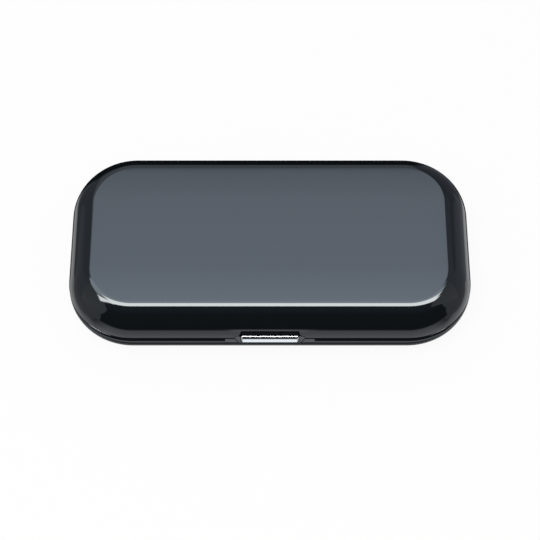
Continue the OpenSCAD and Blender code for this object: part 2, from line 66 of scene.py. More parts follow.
def make_camera():
    data = bpy.data.cameras.new("camera")
    camera = bpy.data.objects.new("camera", data)
    bpy.context.scene.collection.objects.link(camera)
    tilt = math.radians(VIEW_ELEVATION)
    away = Vector((0, -math.cos(tilt), math.sin(tilt)))
    camera.location = (Vector((0, 0, AIM_HEIGHT)) + away * VIEW_DISTANCE) * MM
    camera.rotation_euler = (math.pi / 2 - tilt, 0, 0)
    data.sensor_width = 36
    data.lens = FOCAL_PX / IMAGE_W * data.sensor_width
    data.shift_x = (IMAGE_W / 2 - AIM_PX[0]) / IMAGE_W
    data.shift_y = (AIM_PX[1] - IMAGE_W / 2) / IMAGE_W
    data.clip_start = 0.01
    data.clip_end = 100
    bpy.context.scene.camera = camera


make_camera()

# Sizes of the two shells
CASE_W = 170
CASE_D = 88
CORNER_R = 27.5
BASE_H = 12.8
LID_EDGE_H = 12.35
SEAM_GAP = 1.75
CROWN_R = 420
WALL = 2.2
LID_LIP_WALL = 1.25
BASE_LIP_WALL = 1.4
LID_LEAN = 7
BASE_BAND = 1
BASE_RIM_EDGE = (1.3, 1.6)  # its rounding, across and down
CREASE_ANGLE = 62
CREASE_R = 5.5
LIP_EDGE_R = 0.25

RIM_Z = BASE_H
LIP_Z = RIM_Z + SEAM_GAP
FRAME_Z = 11.2
REBATE_TOP = LIP_Z + 1.7
FRONT_Y = -CASE_D / 2

# Fineness of the shells' meshes
CORNER_CUTS = 24
RIM_TURNS = 9
SIDE_STEP = 2.5
ARC_STEP = 2.5
FILLET_STEP = 1.6
CROWN_STEPS = 10

# Hinges
HINGE_X = 45
HINGE_LEN = 18
LID_KNUCKLE_LEN = 7.5
KNUCKLE_R = 2
PIN_R = 0.8
LID_PIN_GAP = 0.05
BASE_PIN_GAP = 0.01
AXIS_Y = CASE_D / 2 - 0.1
AXIS_Z = RIM_Z + SEAM_GAP / 2
POCKET_R = KNUCKLE_R + 0.35
KNUCKLE_GAP = 0.25
BASE_KNUCKLE_LEN = (HINGE_LEN - LID_KNUCKLE_LEN) / 2 - KNUCKLE_GAP
HEEL_R = 3.4
HEEL_ANGLE = math.radians(27)


def select_only(*objects):
    bpy.ops.object.select_all(action="DESELECT")
    for o in objects:
        o.select_set(True)
    bpy.context.view_layer.objects.active = objects[0]


def new_piece(name):
    piece = bpy.context.object
    piece.name = name
    return piece


def begin_edit(piece, mode):
    """Opens a mesh for editing with nothing selected, in VERT, EDGE or FACE mode."""
    select_only(piece)
    bpy.ops.object.mode_set(mode="EDIT")
    bpy.ops.mesh.select_mode(type=mode)
    bpy.ops.mesh.select_all(action="DESELECT")


def end_edit():
    bpy.ops.object.mode_set(mode="OBJECT")


def choose(piece, kind, test):
    """Selects the verts, edges or faces of the open mesh that pass a test."""
    mesh = bmesh.from_edit_mesh(piece.data)
    bpy.ops.mesh.select_all(action="DESELECT")
    for item in [item for item in getattr(mesh, kind) if test(item)]:
        item.select_set(True)
    mesh.select_flush_mode()
    bmesh.update_edit_mesh(piece.data)


def middle(edge):
    return (edge.verts[0].co + edge.verts[1].co) / 2


def place(piece):
    """Moves a piece's place and scale into its mesh."""
    select_only(piece)
    bpy.ops.object.transform_apply(location=True, rotation=True, scale=True)
    return piece


def apply_modifier(piece, kind, **settings):
    select_only(piece)
    modifier = piece.modifiers.new(kind.lower(), kind)
    for key, value in settings.items():
        setattr(modifier, key, value)
    bpy.ops.object.modifier_apply(modifier=modifier.name)


def combine(piece, other, operation):
    """Boolean of a piece with another one, which is used up."""
    apply_modifier(piece, "BOOLEAN", object=other, operation=operation, solver="EXACT")
    bpy.data.objects.remove(other)


def joined(first, *others):
    select_only(first, *others)
    bpy.ops.object.join()
    return first


def outward(piece):
    begin_edit(piece, "FACE")
    bpy.ops.mesh.select_all(action="SELECT")
    bpy.ops.mesh.remove_doubles(threshold=0.001 * MM)
    bpy.ops.mesh.normals_make_consistent(inside=False)
    end_edit()
    return piece


def smooth(piece, angle=30):
    select_only(piece)
    bpy.ops.object.shade_smooth_by_angle(angle=math.radians(angle))
    return piece


def box(name, low, high):
    size = Vector(high) - Vector(low)
    bpy.ops.mesh.primitive_cube_add(size=1, location=(Vector(low) + size / 2) * MM)
    piece = new_piece(name)
    piece.scale = size * MM
    return place(piece)


def rod(name, centre, r, length, axis, sides=48):
    """Cylinder along X, Y or Z."""
    turn = {"X": (0, math.pi / 2, 0), "Y": (math.pi / 2, 0, 0), "Z": (0, 0, 0)}[axis]
    bpy.ops.mesh.primitive_cylinder_add(
        vertices=sides, radius=r * MM, depth=length * MM, location=Vector(centre) * MM, rotation=turn
    )
    return place(new_piece(name))


def prism(name, corners, to_space, push):
    """Solid with a polygon outline: a disc whose rim points go to the corners, then extruded.

    to_space turns an outline point into a point of the case, and push is the extrusion.
    """
    bpy.ops.mesh.primitive_circle_add(vertices=len(corners), radius=MM, fill_type="NGON")
    piece = new_piece(name)
    begin_edit(piece, "VERT")
    for i, corner in enumerate(corners):
        choose(piece, "verts", lambda v: v.index == i)
        mesh = bmesh.from_edit_mesh(piece.data)
        mesh.verts.ensure_lookup_table()
        bpy.ops.transform.translate(value=to_space(corner) * MM - mesh.verts[i].co)
    bpy.ops.mesh.select_mode(type="FACE")
    bpy.ops.mesh.select_all(action="SELECT")
    bpy.ops.mesh.extrude_region_move(TRANSFORM_OT_translate={"value": Vector(push) * MM})
    end_edit()
    return outward(piece)


def front_point(y):
    return lambda p: Vector((p[0], y, p[1]))


def side_point(x):
    return lambda p: Vector((x, AXIS_Y + p[0], AXIS_Z + p[1]))


class Side:
    """Rounded side of a shell, as insets from the outline and heights above its own rim."""

    def __init__(self, height, band, lean, crown):
        crease = math.radians(CREASE_ANGLE)
        lean = math.radians(lean)
        arc = height - band - CREASE_R * (1 - math.sin(crease))
        self.arc_r = arc / (math.sin(crease) - math.sin(lean))
        self.arc = (CORNER_R - self.arc_r * math.cos(lean), band - self.arc_r * math.sin(lean))
        reach = self.arc_r - CREASE_R
        self.fillet = (
            self.arc[0] + reach * math.cos(crease),
            self.arc[1] + reach * math.sin(crease),
        )
        self.lean = lean
        self.crease = crease
        self.crown = crown
        if crown:
            drop = math.sqrt((crown - CREASE_R) ** 2 - self.fillet[0] ** 2)
            self.crown_z = self.fillet[1] - drop
            self.top_angle = math.atan2(drop, self.fillet[0])
        else:
            self.top_angle = math.pi / 2

    def points(self, wall=0, start=None):
        """Insets and heights from a start height up to the flat, drawn in by a wall."""
        made = []

        def turn(centre, r, low, high, step):
            count = max(2, round(math.degrees(high - low) / step))
            for i in range(count + 1):
                a = low + (high - low) * i / count
                made.append((CORNER_R - centre[0] - r * math.cos(a), centre[1] + r * math.sin(a)))

        arc_r = self.arc_r - wall
        low = self.lean if start is None else math.asin((start - self.arc[1]) / arc_r)
        turn(self.arc, arc_r, low, self.crease, ARC_STEP)
        made.pop()
        turn(self.fillet, CREASE_R - wall, self.crease, self.top_angle, FILLET_STEP)
        if self.crown:
            edge_x = CORNER_R - made[-1][0]
            r = self.crown - wall
            for i in range(1, CROWN_STEPS + 1):
                x = edge_x + (1.5 - edge_x) * i / CROWN_STEPS
                made.append((CORNER_R - x, self.crown_z + math.sqrt(r * r - x * x)))
        return made


LID_SIDE = Side(LID_EDGE_H, 0, LID_LEAN, CROWN_R)
BASE_SIDE = Side(BASE_H, BASE_BAND, 0, None)


def outline_plate(name, inset, z):
    """Flat face with the outline of the case, its straight sides cut into even lengths."""
    bpy.ops.mesh.primitive_plane_add(size=1, location=(0, 0, z * MM))
    piece = new_piece(name)
    width = CASE_W - 2 * inset
    depth = CASE_D - 2 * inset
    piece.scale = (width * MM, depth * MM, 1)
    place(piece)
    begin_edit(piece, "VERT")
    bpy.ops.mesh.select_all(action="SELECT")
    bpy.ops.mesh.bevel(offset=(CORNER_R - inset) * MM, segments=CORNER_CUTS, affect="VERTICES")
    bpy.ops.mesh.select_all(action="SELECT")
    bpy.ops.mesh.delete(type="ONLY_FACE")
    bpy.ops.mesh.select_mode(type="EDGE")
    for axis, length in ((0, CASE_W), (1, CASE_D)):
        straight = length - 2 * CORNER_R

        def is_straight(e):
            return abs(e.verts[0].co[axis] - e.verts[1].co[axis]) > 0.9 * straight * MM

        choose(piece, "edges", is_straight)
        bpy.ops.mesh.subdivide(number_cuts=round(straight / SIDE_STEP) - 1)
    bpy.ops.mesh.select_all(action="SELECT")
    bpy.ops.mesh.edge_face_add()
    bpy.ops.mesh.select_mode(type="FACE")
    bpy.ops.mesh.normals_make_consistent(inside=False)
    return piece


def dish(name, steps, z, up):
    """Skin of a shell: the outline face is inset step by step along the rounded side."""
    inset, height = steps[0]
    piece = outline_plate(name, inset, z + up * height)
    bpy.ops.mesh.select_all(action="SELECT")
    for next_inset, next_height in steps[1:]:
        bpy.ops.mesh.inset(thickness=(next_inset - inset) * MM)
        bpy.ops.transform.translate(value=(0, 0, up * (next_height - height) * MM))
        inset, height = next_inset, next_height
    end_edit()
    return piece


def quarter(across, inset, height):
    """Steps round the outer edge of a rim, from a wall at an inset and a height up to the rim."""
    angles = [math.radians(90 * i / RIM_TURNS) for i in range(1, RIM_TURNS + 1)]
    return [(inset + across * (1 - math.cos(a)), height * (1 - math.sin(a))) for a in angles]


def shell(name, outer_steps, inner_steps, z, up, rim_r):
    """Outer skin, and an inner one that goes round the rim. Both start below the rim's outer edge."""
    outer = dish(name, outer_steps, z, up)
    first = outer_steps[0]
    inner = dish(name + "_inside", [first] + quarter(rim_r, *first) + inner_steps, z, up)
    return outward(joined(outer, inner))


# Latch, as the frame has it
BAR_W = 24.2
BAR_H = 3.9
BAR_FRONT = FRONT_Y - 0.52
BAR_BACK = -40.9
BAR_TOP = LIP_Z + 1.05
BAR_SLOPE = math.radians(8.5)
BAR_END_R = 0.85
BAR_CHAMFER = 0.78
BAR_FOOT_CHAMFER = 0.48
BAR_EDGE_R = 0.1
RECESS_Y = FRONT_Y + 1
BAY_WALL = 1.8
BAY_X = 16.4
BAY_FLOOR = 7.3
BAY_BACK = -30.6
NOTCH_GAP = 0.2
BAY_GAP = 0.15
TAB_X = 18.6
TAB_GAP = 0.3
TAB_EDGE_R = 0.65
SPRING_X = 12.3
SPRING_Z = 10
SPRING_FRONT = -39.8
SPRING_BACK = -31.8
SPRING_R = 0.9
SPRING_TURNS = 5
WIRE_D = 0.45

# Screw bosses: distance of the corner ones from the corner centres, their radius, and their places
SCREW_RING = CORNER_R - 5.1
BOSS_R = 2.4
LATCH_SCREW = (18.6, -35.6)
LID_FRAME_TOP = REBATE_TOP + 1.7


def bezel_outline(gap):
    """Front outline of the latch bezel, widened by a gap."""
    right = [
        (12.95 + gap, -3.7 - gap),
        (14.75 + gap, 0),
        (14.1 + gap, 1.05 + gap),
        (12.9 + gap, 1.05 + gap),
        (11.8 + gap, 3.85 + gap),
    ]
    left = [(-x, z) for x, z in reversed(right)]
    return [(x, LIP_Z + z) for x, z in right + left]


def corner_spots():
    x = CASE_W / 2 - CORNER_R + SCREW_RING * math.sqrt(0.5)
    y = CASE_D / 2 - CORNER_R + SCREW_RING * math.sqrt(0.5)
    return [(sx * x, sy * y) for sx in (-1, 1) for sy in (-1, 1)]


def uprights(spots, r, low, high):
    """Vertical rods at several places, as one mesh."""
    rods = [rod("upright", (x, y, (low + high) / 2), r, high - low, "Z", 32) for x, y in spots]
    return joined(*rods)


def hinge_spots():
    return [-HINGE_X, HINGE_X]


def hinge_pockets():
    length = HINGE_LEN + 2 * KNUCKLE_GAP
    return [rod("pocket", (x, AXIS_Y, AXIS_Z), POCKET_R, length, "X", 64) for x in hinge_spots()]


def knuckle(x, length, bore, web):
    """Knuckle centred on an X place, with its web to the shell and its bore."""
    piece = rod("knuckle", (x, AXIS_Y, AXIS_Z), KNUCKLE_R, length, "X", 64)
    combine(piece, prism("web", web, side_point(x - length / 2), (length, 0, 0)), "UNION")
    combine(piece, rod("bore", (x, AXIS_Y, AXIS_Z), bore, length + 2, "X", 48), "DIFFERENCE")
    return piece


def solid_body(name, steps, z, up):
    """Closed outer form of a shell."""
    piece = dish(name, steps, z, up)
    begin_edit(piece, "EDGE")
    choose(piece, "edges", lambda e: len(e.link_faces) == 1)
    bpy.ops.mesh.edge_face_add()
    end_edit()
    return outward(piece)


def make_lid_shell():
    rebate = REBATE_TOP - LIP_Z
    outer = LID_SIDE.points(0, LIP_EDGE_R)
    inner = [(LID_LIP_WALL, 0), (LID_LIP_WALL, rebate)] + LID_SIDE.points(WALL, rebate)
    piece = shell("lid_shell_skin", outer, inner, LIP_Z, 1, LIP_EDGE_R)
    notch = prism("notch", bezel_outline(NOTCH_GAP), front_point(FRONT_Y - 1), (0, 3 * WALL + 1, 0))
    combine(piece, joined(notch, *hinge_pockets()), "DIFFERENCE")
    bosses = uprights(corner_spots(), BOSS_R, LID_FRAME_TOP, LIP_Z + LID_EDGE_H)
    within = [(inset + WALL / 2, height) for inset, height in outer if height < LID_EDGE_H - WALL]
    combine(bosses, solid_body("within", within, LIP_Z, 1), "INTERSECT")
    combine(piece, bosses, "UNION")
    inside = 0.1 - LID_LIP_WALL
    web = [(inside, 0), (KNUCKLE_R, 0), (KNUCKLE_R, 0.3), (inside, 5), (inside - 0.5, 5), (inside, 1.8)]
    knuckles = [knuckle(x, LID_KNUCKLE_LEN, PIN_R + LID_PIN_GAP, web) for x in hinge_spots()]
    combine(piece, joined(*knuckles), "UNION")
    return piece


def make_base_shell():
    frame_drop = RIM_Z - FRAME_Z
    outer = BASE_SIDE.points(0, BASE_RIM_EDGE[1])
    inner = [(BASE_LIP_WALL, 0), (BASE_LIP_WALL, frame_drop)] + BASE_SIDE.points(WALL, frame_drop)
    piece = shell("base_shell_skin", outer, inner, RIM_Z, -1, BASE_RIM_EDGE[0])
    tabs = box(
        "tabs",
        (-TAB_X, FRONT_Y + 0.02, RIM_Z - BASE_RIM_EDGE[1] - 0.1),
        (TAB_X, FRONT_Y + BASE_LIP_WALL - 0.02, LIP_Z - TAB_GAP),
    )
    begin_edit(tabs, "EDGE")
    choose(tabs, "edges", lambda e: middle(e).z > (LIP_Z - TAB_GAP - 0.1) * MM)
    bpy.ops.mesh.bevel(offset=TAB_EDGE_R * MM, segments=6, affect="EDGES")
    end_edit()
    combine(piece, tabs, "UNION")
    bosses = joined(
        uprights(corner_spots(), BOSS_R, WALL / 2, FRAME_Z),
        uprights([LATCH_SCREW, (-LATCH_SCREW[0], LATCH_SCREW[1])], BOSS_R, WALL / 2, BAY_FLOOR),
    )
    within = [(inset + WALL / 2, height) for inset, height in outer if height < BASE_H - WALL / 2]
    combine(bosses, solid_body("within", within, RIM_Z, -1), "INTERSECT")
    combine(piece, bosses, "UNION")
    gap = prism("gap", bezel_outline(BAY_GAP), front_point(FRONT_Y - 1), (0, BAY_WALL + 2, 0))
    bay = box("bay", (-BAY_X, FRONT_Y + BAY_WALL, BAY_FLOOR - 0.1), (BAY_X, BAY_BACK, LIP_Z + 1))
    combine(piece, gap, "DIFFERENCE")
    combine(piece, joined(bay, *hinge_pockets()), "DIFFERENCE")
    heel = (HEEL_R * math.cos(HEEL_ANGLE), -HEEL_R * math.sin(HEEL_ANGLE))
    inside = 0.3 - BASE_LIP_WALL
    web = [(0, 0), (inside, 0), (inside, -5.6), heel]
    offset = (HINGE_LEN - BASE_KNUCKLE_LEN) / 2
    knuckles = [
        knuckle(x + side * offset, BASE_KNUCKLE_LEN, PIN_R + BASE_PIN_GAP, web)
        for x in hinge_spots()
        for side in (-1, 1)
    ]
    combine(piece, joined(*knuckles), "UNION")
    return piece


def make_push_bar():
    """Bar with rounded ends, whose top slopes down to the chamfer round its front."""
    piece = box("push_bar", (-BAR_W / 2, BAR_FRONT, BAR_TOP - BAR_H), (BAR_W / 2, BAR_BACK, BAR_TOP))
    begin_edit(piece, "EDGE")
    bpy.ops.mesh.select_all(action="SELECT")
    bpy.ops.mesh.bisect(plane_co=(0, RECESS_Y * MM, 0), plane_no=(0, 1, 0))

    def on_front(e):
        return all(v.co.y < (BAR_FRONT + 0.01) * MM for v in e.verts)

    choose(piece, "edges", lambda e: on_front(e) and middle(e).z > (BAR_TOP - 0.01) * MM)
    bpy.ops.transform.translate(value=(0, 0, -(RECESS_Y - BAR_FRONT) * math.tan(BAR_SLOPE) * MM))
    choose(piece, "edges", lambda e: abs(e.verts[0].co.y - e.verts[1].co.y) > MM)
    bpy.ops.mesh.bevel(offset=BAR_END_R * MM, segments=10, affect="EDGES")
    choose(piece, "edges", on_front)
    bpy.ops.mesh.bevel(offset=BAR_CHAMFER * MM, segments=1, affect="EDGES")
    bpy.ops.mesh.region_to_loop()
    bpy.ops.mesh.bevel(offset=BAR_EDGE_R * MM, segments=4, affect="EDGES")
    foot = (BAR_TOP - BAR_H / 2) * MM
    choose(
        piece, "verts",
        lambda v: v.co.z < foot and v.co.y < (BAR_FRONT + BAR_CHAMFER / 2) * MM,
    )
    bpy.ops.transform.translate(value=(0, 0, (BAR_FOOT_CHAMFER - BAR_CHAMFER) * MM))
    end_edit()
    return piece


def make_spring(name, x):
    """Round wire wound by a screw round its axis, with straight ends to both seats."""
    length = SPRING_BACK - SPRING_FRONT
    straight = 2 * WIRE_D
    pitch = (length - 2 * straight) / SPRING_TURNS
    bpy.ops.mesh.primitive_circle_add(
        vertices=10, radius=WIRE_D / 2 * MM, location=(SPRING_R * MM, 0, 0)
    )
    piece = place(new_piece(name))
    apply_modifier(
        piece, "SCREW", axis="Y", screw_offset=pitch * MM, iterations=SPRING_TURNS,
        steps=20, render_steps=20, use_merge_vertices=True,
    )
    begin_edit(piece, "EDGE")
    for end, way in ((0, -1), (pitch * SPRING_TURNS, 1)):
        def at_end(e):
            return len(e.link_faces) == 1 and abs(middle(e).y / MM - end) < WIRE_D
        choose(piece, "edges", at_end)
        bpy.ops.mesh.extrude_region_move(TRANSFORM_OT_translate={"value": (0, way * straight * MM, 0)})
        bpy.ops.mesh.edge_face_add()
    bpy.ops.mesh.select_all(action="SELECT")
    bpy.ops.transform.translate(value=Vector((x, SPRING_FRONT + straight, SPRING_Z)) * MM)
    end_edit()
    return outward(piece)


# Foam
OPENING_W = 151
OPENING_FRONT = -28.8
OPENING_REAR = 34.5
OPENING_R = 18
FOAM_MID = (OPENING_FRONT + OPENING_REAR) / 2
FOAM_GAP = 0.35
FOAM_VOXEL = 0.85
POCKET_FLOOR = 2.2
POCKETS = (  # name, width, depth, corner radius, place along the case, and cuts of a corner
    ("large_pocket", 62, 46, 7, -36.5, 10),
    ("round_pocket", 38, 38, 18.9, 20, 24),
    ("narrow_pocket", 22, 46, 7, 56.5, 10),
)


def pad(name, width, depth, r, centre, low, high, cuts=10):
    """Rounded slab."""
    bpy.ops.mesh.primitive_plane_add(size=1, location=Vector((*centre, low)) * MM)
    piece = new_piece(name)
    piece.scale = (width * MM, depth * MM, 1)
    place(piece)
    begin_edit(piece, "VERT")
    bpy.ops.mesh.select_all(action="SELECT")
    bpy.ops.mesh.bevel(offset=r * MM, segments=cuts, affect="VERTICES")
    bpy.ops.mesh.select_all(action="SELECT")
    bpy.ops.mesh.select_mode(type="FACE")
    bpy.ops.mesh.extrude_region_move(TRANSFORM_OT_translate={"value": (0, 0, (high - low) * MM)})
    end_edit()
    return outward(piece)


def foamed(piece):
    """Evens out a pad's mesh, softens its cut edges and gives it foam's slight unevenness."""
    apply_modifier(piece, "REMESH", mode="VOXEL", voxel_size=FOAM_VOXEL * MM)
    apply_modifier(piece, "SMOOTH", factor=0.5, iterations=3)
    clouds = bpy.data.textures.new(piece.name + "_waves", "CLOUDS")
    clouds.noise_scale = 9 * MM
    apply_modifier(
        piece, "DISPLACE", texture=clouds, strength=0.3 * MM, mid_level=0.5, texture_coords="LOCAL"
    )
    return piece


def opening_pad(name, low, high):
    """Slab that fills the opening of a frame."""
    width = OPENING_W - 2 * FOAM_GAP
    depth = OPENING_REAR - OPENING_FRONT - 2 * FOAM_GAP
    return pad(name, width, depth, OPENING_R - FOAM_GAP, (0, FOAM_MID), low, high)


def make_base_foam():
    low, high = [corner.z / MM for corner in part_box("base_foam")]
    piece = opening_pad("base_foam_insert", low, high)
    pockets = [
        pad(name, width, depth, r, (x, FOAM_MID), low + POCKET_FLOOR, high + 1, cuts)
        for name, width, depth, r, x, cuts in POCKETS
    ]
    combine(piece, joined(*pockets), "DIFFERENCE")
    return foamed(piece)


def make_lid_foam():
    low, high = [corner.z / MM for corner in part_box("lid_foam")]
    return foamed(opening_pad("lid_foam_pad", low, high))


def dressed(node, edge, angle=40):
    """Copy of a frame node with its sharp edges broken."""
    piece = bpy.data.objects.new(node + "_finished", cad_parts[node].data.copy())
    bpy.context.scene.collection.objects.link(piece)
    piece.data.materials.clear()
    begin_edit(piece, "VERT")
    bpy.ops.mesh.select_all(action="SELECT")
    bpy.ops.mesh.remove_doubles(threshold=0.002 * MM)
    bpy.ops.mesh.dissolve_limited(angle_limit=math.radians(0.5))
    end_edit()
    bpy.ops.mesh.customdata_custom_splitnormals_clear()
    apply_modifier(
        piece, "BEVEL", width=edge * MM, segments=2, limit_method="ANGLE",
        angle_limit=math.radians(angle), use_clamp_overlap=True,
    )
    return piece


def linear(hex_colour):
    """sRGB hex colour as the linear values that Blender works in."""
    parts = [int(hex_colour[i : i + 2], 16) / 255 for i in (1, 3, 5)]
    return (*[p / 12.92 if p <= 0.04045 else ((p + 0.055) / 1.055) ** 2.4 for p in parts], 1)


def add_node(tree, kind, inputs=None, **settings):
    """Adds a node with its settings. An input is a value, or another node's output to link."""
    made = tree.nodes.new(kind)
    for key, value in settings.items():
        setattr(made, key, value)
    for key, value in (inputs or {}).items():
        if isinstance(value, bpy.types.NodeSocket):
            tree.links.new(value, made.inputs[key])
        else:
            made.inputs[key].default_value = value
    return made


def start_material(name):
    material = bpy.data.materials.new(name)
    material.use_nodes = True
    tree = material.node_tree
    tree.nodes.clear()
    place_of = add_node(tree, "ShaderNodeTexCoord").outputs["Object"]
    return material, tree, place_of


def finish_material(tree, shader):
    add_node(tree, "ShaderNodeOutputMaterial", {"Surface": shader.outputs[0]})


def per_mm(size):
    """Scale of a pattern on Object coordinates whose features are this many millimetres apart."""
    return 1 / (size * MM)


def gloss_abs():
    """ABS moulded against a polished tool: near black, and sharp in its reflections.

    The polish leaves a very faint long waviness, and handling leaves patches a touch less sharp.
    """
    material, tree, where = start_material("polished_black_abs")
    waves = add_node(tree, "ShaderNodeTexNoise", {"Vector": where, "Scale": per_mm(16), "Detail": 1})
    edges = add_node(tree, "ShaderNodeBevel", {"Radius": 0.3 * MM}, samples=8)
    bump = add_node(
        tree, "ShaderNodeBump",
        {
            "Height": waves.outputs[0], "Strength": 0.5, "Distance": 0.004 * MM,
            "Normal": edges.outputs[0],
        },
    )
    smears = add_node(tree, "ShaderNodeTexNoise", {"Vector": where, "Scale": per_mm(11), "Detail": 3})
    rough = add_node(
        tree, "ShaderNodeMapRange",
        {"Value": smears.outputs[0], "From Min": 0.3, "From Max": 0.7, "To Min": 0.03, "To Max": 0.05},
    )
    shader = add_node(
        tree, "ShaderNodeBsdfPrincipled",
        {
            "Base Color": linear("#0b1014"), "Roughness": rough.outputs[0], "IOR": 1.54,
            "Normal": bump.outputs[0],
        },
    )
    finish_material(tree, shader)
    return material


def matt_abs(name, shine):
    """ABS moulded against a spark-eroded tool: charcoal, with a fine even grain and no clear reflection."""
    material, tree, where = start_material(name)
    grain = add_node(tree, "ShaderNodeTexNoise", {"Vector": where, "Scale": per_mm(0.35), "Detail": 2})
    bump = add_node(
        tree, "ShaderNodeBump", {"Height": grain.outputs[0], "Strength": 0.6, "Distance": 0.03 * MM}
    )
    tone = add_node(
        tree, "ShaderNodeMix",
        {"Factor": grain.outputs[0], 6: linear("#151618"), 7: linear("#1e1f22")},
        data_type="RGBA",
    )
    shader = add_node(
        tree, "ShaderNodeBsdfPrincipled",
        {
            "Base Color": tone.outputs[2], "Roughness": 0.55, "IOR": 1.54, "Specular IOR Level": shine,
            "Normal": bump.outputs[0],
        },
    )
    finish_material(tree, shader)
    return material


def chrome_plate():
    """Bright chrome over plastic: a mirror with a faint cool tint and the slight waves of its base."""
    material, tree, where = start_material("chrome_plated_abs")
    waves = add_node(tree, "ShaderNodeTexNoise", {"Vector": where, "Scale": per_mm(3), "Detail": 1})
    bump = add_node(
        tree, "ShaderNodeBump", {"Height": waves.outputs[0], "Strength": 0.2, "Distance": 0.001 * MM}
    )
    shader = add_node(
        tree, "ShaderNodeBsdfPrincipled",
        {
            "Base Color": linear("#eceef1"), "Metallic": 1, "Roughness": 0.07,
            "Normal": bump.outputs[0],
        },
    )
    finish_material(tree, shader)
    return material


def zinc_steel():
    """Zinc-plated steel: grey, softly bright, with the crystals of the plating a millimetre across."""
    material, tree, where = start_material("zinc_plated_steel")
    crystals = add_node(tree, "ShaderNodeTexVoronoi", {"Vector": where, "Scale": per_mm(0.9)})
    tone = add_node(
        tree, "ShaderNodeMix",
        {"Factor": crystals.outputs["Distance"], 6: linear("#b9bbbd"), 7: linear("#9b9da0")},
        data_type="RGBA",
    )
    rough = add_node(
        tree, "ShaderNodeMapRange",
        {"Value": crystals.outputs["Distance"], "To Min": 0.28, "To Max": 0.4},
    )
    shader = add_node(
        tree, "ShaderNodeBsdfPrincipled",
        {"Base Color": tone.outputs[2], "Metallic": 1, "Roughness": rough.outputs[0]},
    )
    finish_material(tree, shader)
    return material


def charcoal_foam():
    """Cross-linked polyethylene foam, die-cut: dull, with open cells on the cut faces.

    The cells are drawn 0.5 mm across, a little coarser than real ones, so that they show.
    """
    material, tree, where = start_material("charcoal_polyethylene_foam")
    cells = add_node(tree, "ShaderNodeTexVoronoi", {"Vector": where, "Scale": per_mm(0.5)})
    mottle = add_node(tree, "ShaderNodeTexNoise", {"Vector": where, "Scale": per_mm(5), "Detail": 4})
    depth = add_node(
        tree, "ShaderNodeMapRange",
        {"Value": cells.outputs["Distance"], "From Min": 0.1, "From Max": 0.6},
    )
    bump = add_node(
        tree, "ShaderNodeBump", {"Height": depth.outputs[0], "Strength": 0.8, "Distance": 0.12 * MM}
    )
    base = add_node(
        tree, "ShaderNodeMix",
        {"Factor": mottle.outputs[0], 6: linear("#2c2e31"), 7: linear("#3c3e42")},
        data_type="RGBA",
    )
    # Painted shade: the pits of the cells are drawn in a darker colour than their rims.
    tone = add_node(
        tree, "ShaderNodeMix",
        {"Factor": depth.outputs[0], 6: linear("#222427"), 7: base.outputs[2]},
        data_type="RGBA",
    )
    shader = add_node(
        tree, "ShaderNodeBsdfPrincipled",
        {
            "Base Color": tone.outputs[2], "Roughness": 0.95, "IOR": 1.5, "Specular IOR Level": 0.15,
            "Normal": bump.outputs[0],
        },
    )
    finish_material(tree, shader)
    return material


GLOSS = gloss_abs()
MATT = matt_abs("grained_black_abs", 0.03)
# A black with no shine at all, used as painted shade in the latch recess.
RECESS_PAINTED_SHADE = matt_abs("black_abs_painted_recess_shade", 0)
CHROME = chrome_plate()
STEEL = zinc_steel()
FOAM = charcoal_foam()
SLOTS = {"gloss_shell": GLOSS, "matt_moulding": MATT, "foam": FOAM, "chrome": CHROME, "steel": STEEL}


def fit(piece, body, slot, *nodes, angle=30, weigh=True):
    """Gives a finished piece its material and its body, and hides the frame nodes that it stands for.

    Weighed normals keep flat faces flat next to their rounded edges.
    """
    piece.data.materials.clear()
    piece.data.materials.append(SLOTS[slot])
    smooth(piece, angle)
    if weigh:
        apply_modifier(piece, "WEIGHTED_NORMAL", keep_sharp=True)
    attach(piece, body)
    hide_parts(*nodes)
    return piece


fit(make_lid_shell(), "lid", "gloss_shell", "lid_shell")
fit(make_base_shell(), "base", "gloss_shell", "base_shell")
fit(make_push_bar(), "button", "chrome", "latch_button")
for side, x in (("left", -SPRING_X), ("right", SPRING_X)):
    spring = fit(
        make_spring(f"{side}_spring", x), "base", "steel", f"latch_spring_{side}",
        angle=60, weigh=False,
    )
    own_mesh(spring)
fit(make_base_foam(), "base", "foam", "base_foam", angle=60, weigh=False)
fit(make_lid_foam(), "lid", "foam", "lid_foam", angle=60, weigh=False)

DRESSED = {
    "base_frame": ("base", "matt_moulding", 0.15),
    "latch_housing": ("base", "gloss_shell", 0.12),
    "latch_cover": ("base", "steel", 0.08),
    "latch_screws": ("base", "steel", 0.08),
    "base_frame_screws": ("base", "steel", 0.08),
    "hinge_pin_left": ("base", "steel", 0.15),
    "hinge_pin_right": ("base", "steel", 0.15),
    "lid_frame": ("lid", "matt_moulding", 0.15),
    "lid_hook": ("lid", "steel", 0.12),
    "lid_hook_screws": ("lid", "steel", 0.08),
    "lid_frame_screws": ("lid", "steel", 0.08),
    "latch_slide": ("button", "matt_moulding", 0.1),
    "button_screws": ("button", "steel", 0.05),
}


def paint_recess_shade(housing):
    """Behind its flush ears and round the bar the housing has painted shade: a black with no shine,
    standing in for the shadow of a deeper recess.
    """
    housing.data.materials.append(RECESS_PAINTED_SHADE)
    # Faces behind the front of the ears take the painted shade.
    for face in housing.data.polygons:
        if face.center.y > (RECESS_Y - 0.05) * MM:
            face.material_index = 1


for node, (body, slot, edge) in DRESSED.items():
    finished = fit(dressed(node, edge), body, slot, node)
    if node == "latch_housing":
        paint_recess_shade(finished)

# Floor and light
FLOOR_Z = -0.05
FLOOR_SIZE = 6000
AMBIENT = 0.62
KEY_POWER = 7
KEY_SIZE = 900
KEY_PLACE = (-250, -450, 1100)
FLOOR_GLOW = 0.92


